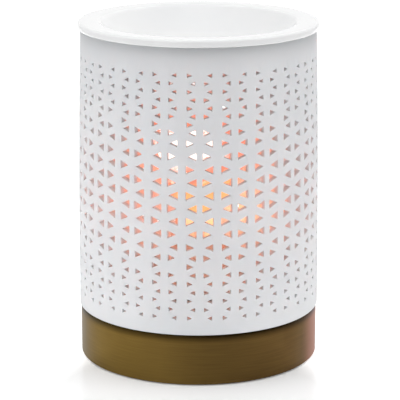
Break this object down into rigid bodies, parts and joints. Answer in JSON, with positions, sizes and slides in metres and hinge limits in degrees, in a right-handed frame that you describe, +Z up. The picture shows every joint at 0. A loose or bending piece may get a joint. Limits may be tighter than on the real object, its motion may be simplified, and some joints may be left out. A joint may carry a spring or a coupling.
{
  "type": "electric essential oil burner",
  "caption": "Electric oil burner: shallow oil dish on a slightly tapering pierced porcelain shade over a bronze-finish base with a reflector lamp that warms the dish.",
  "frame": {"origin": "centre of the round footprint, on the table surface under the rubber feet", "axes": "+Z up along the shade's axis; -Y is the front that the picture shows; +X to the viewer's right"},
  "size_m": [0.1106, 0.1107, 0.1552],
  "materials": {
    "white_glaze": "gloss",
    "white_porcelain": "satin",
    "bronze_finish": "satin",
    "black_plastic": "matte",
    "black_rubber": "matte",
    "steel": "satin",
    "brass": "satin",
    "steatite": "matte",
    "lamp_ceramic": "matte",
    "lamp_glass": "gloss",
    "lamp_filament": "gloss",
    "brown_insulation": "satin",
    "blue_insulation": "satin"
  },
  "bodies": {
    "base": {"base_cup": "bronze_finish", "base_plate": "black_plastic", "cord_grommet": "black_rubber", "terminal_block": "black_plastic", "terminal_fixing_screw": "steel", "lamp_bracket": "steel", "lamp_holder": "steatite", "lead_live": "brown_insulation", "lead_neutral": "blue_insulation", "terminal_sleeve_live": "brass", "terminal_sleeve_neutral": "brass", "base_foot_1": "black_rubber", "plate_screw_1": "steel", "terminal_screw_1": "steel", "base_foot_2": "black_rubber", "plate_screw_2": "steel", "terminal_screw_2": "steel", "base_foot_3": "black_rubber", "plate_screw_3": "steel", "terminal_screw_3": "steel", "base_foot_4": "black_rubber", "plate_screw_4": "steel", "terminal_screw_4": "steel", "bracket_screw_1": "steel", "bracket_nut_1": "steel", "holder_screw_1": "steel", "holder_contact_1": "brass", "bracket_screw_2": "steel", "bracket_nut_2": "steel", "holder_screw_2": "steel", "holder_contact_2": "brass"},
    "lamp": {"lamp_base": "lamp_ceramic", "lamp_reflector": "lamp_glass", "lamp_capsule": "lamp_filament", "lamp_front_glass": "lamp_glass", "lamp_pin_1": "brass", "lamp_pin_2": "brass"},
    "shade": {"shade": "white_porcelain"},
    "dish": {"dish": "white_glaze"}
  },
  "joints": [
    {"name": "shade_lift", "type": "slide", "parent": "base", "child": "shade", "axis": [0, 0, 1], "range_m": [0, 0.09]},
    {"name": "dish_lift", "type": "slide", "parent": "shade", "child": "dish", "axis": [0, 0, 1], "range_m": [0, 0.04]},
    {"name": "lamp_turn", "type": "hinge", "parent": "base", "child": "lamp", "pos_m": [0, 0, 0.0554], "axis": [0, 0, 1], "range_deg": [0, 30]}
  ]
}
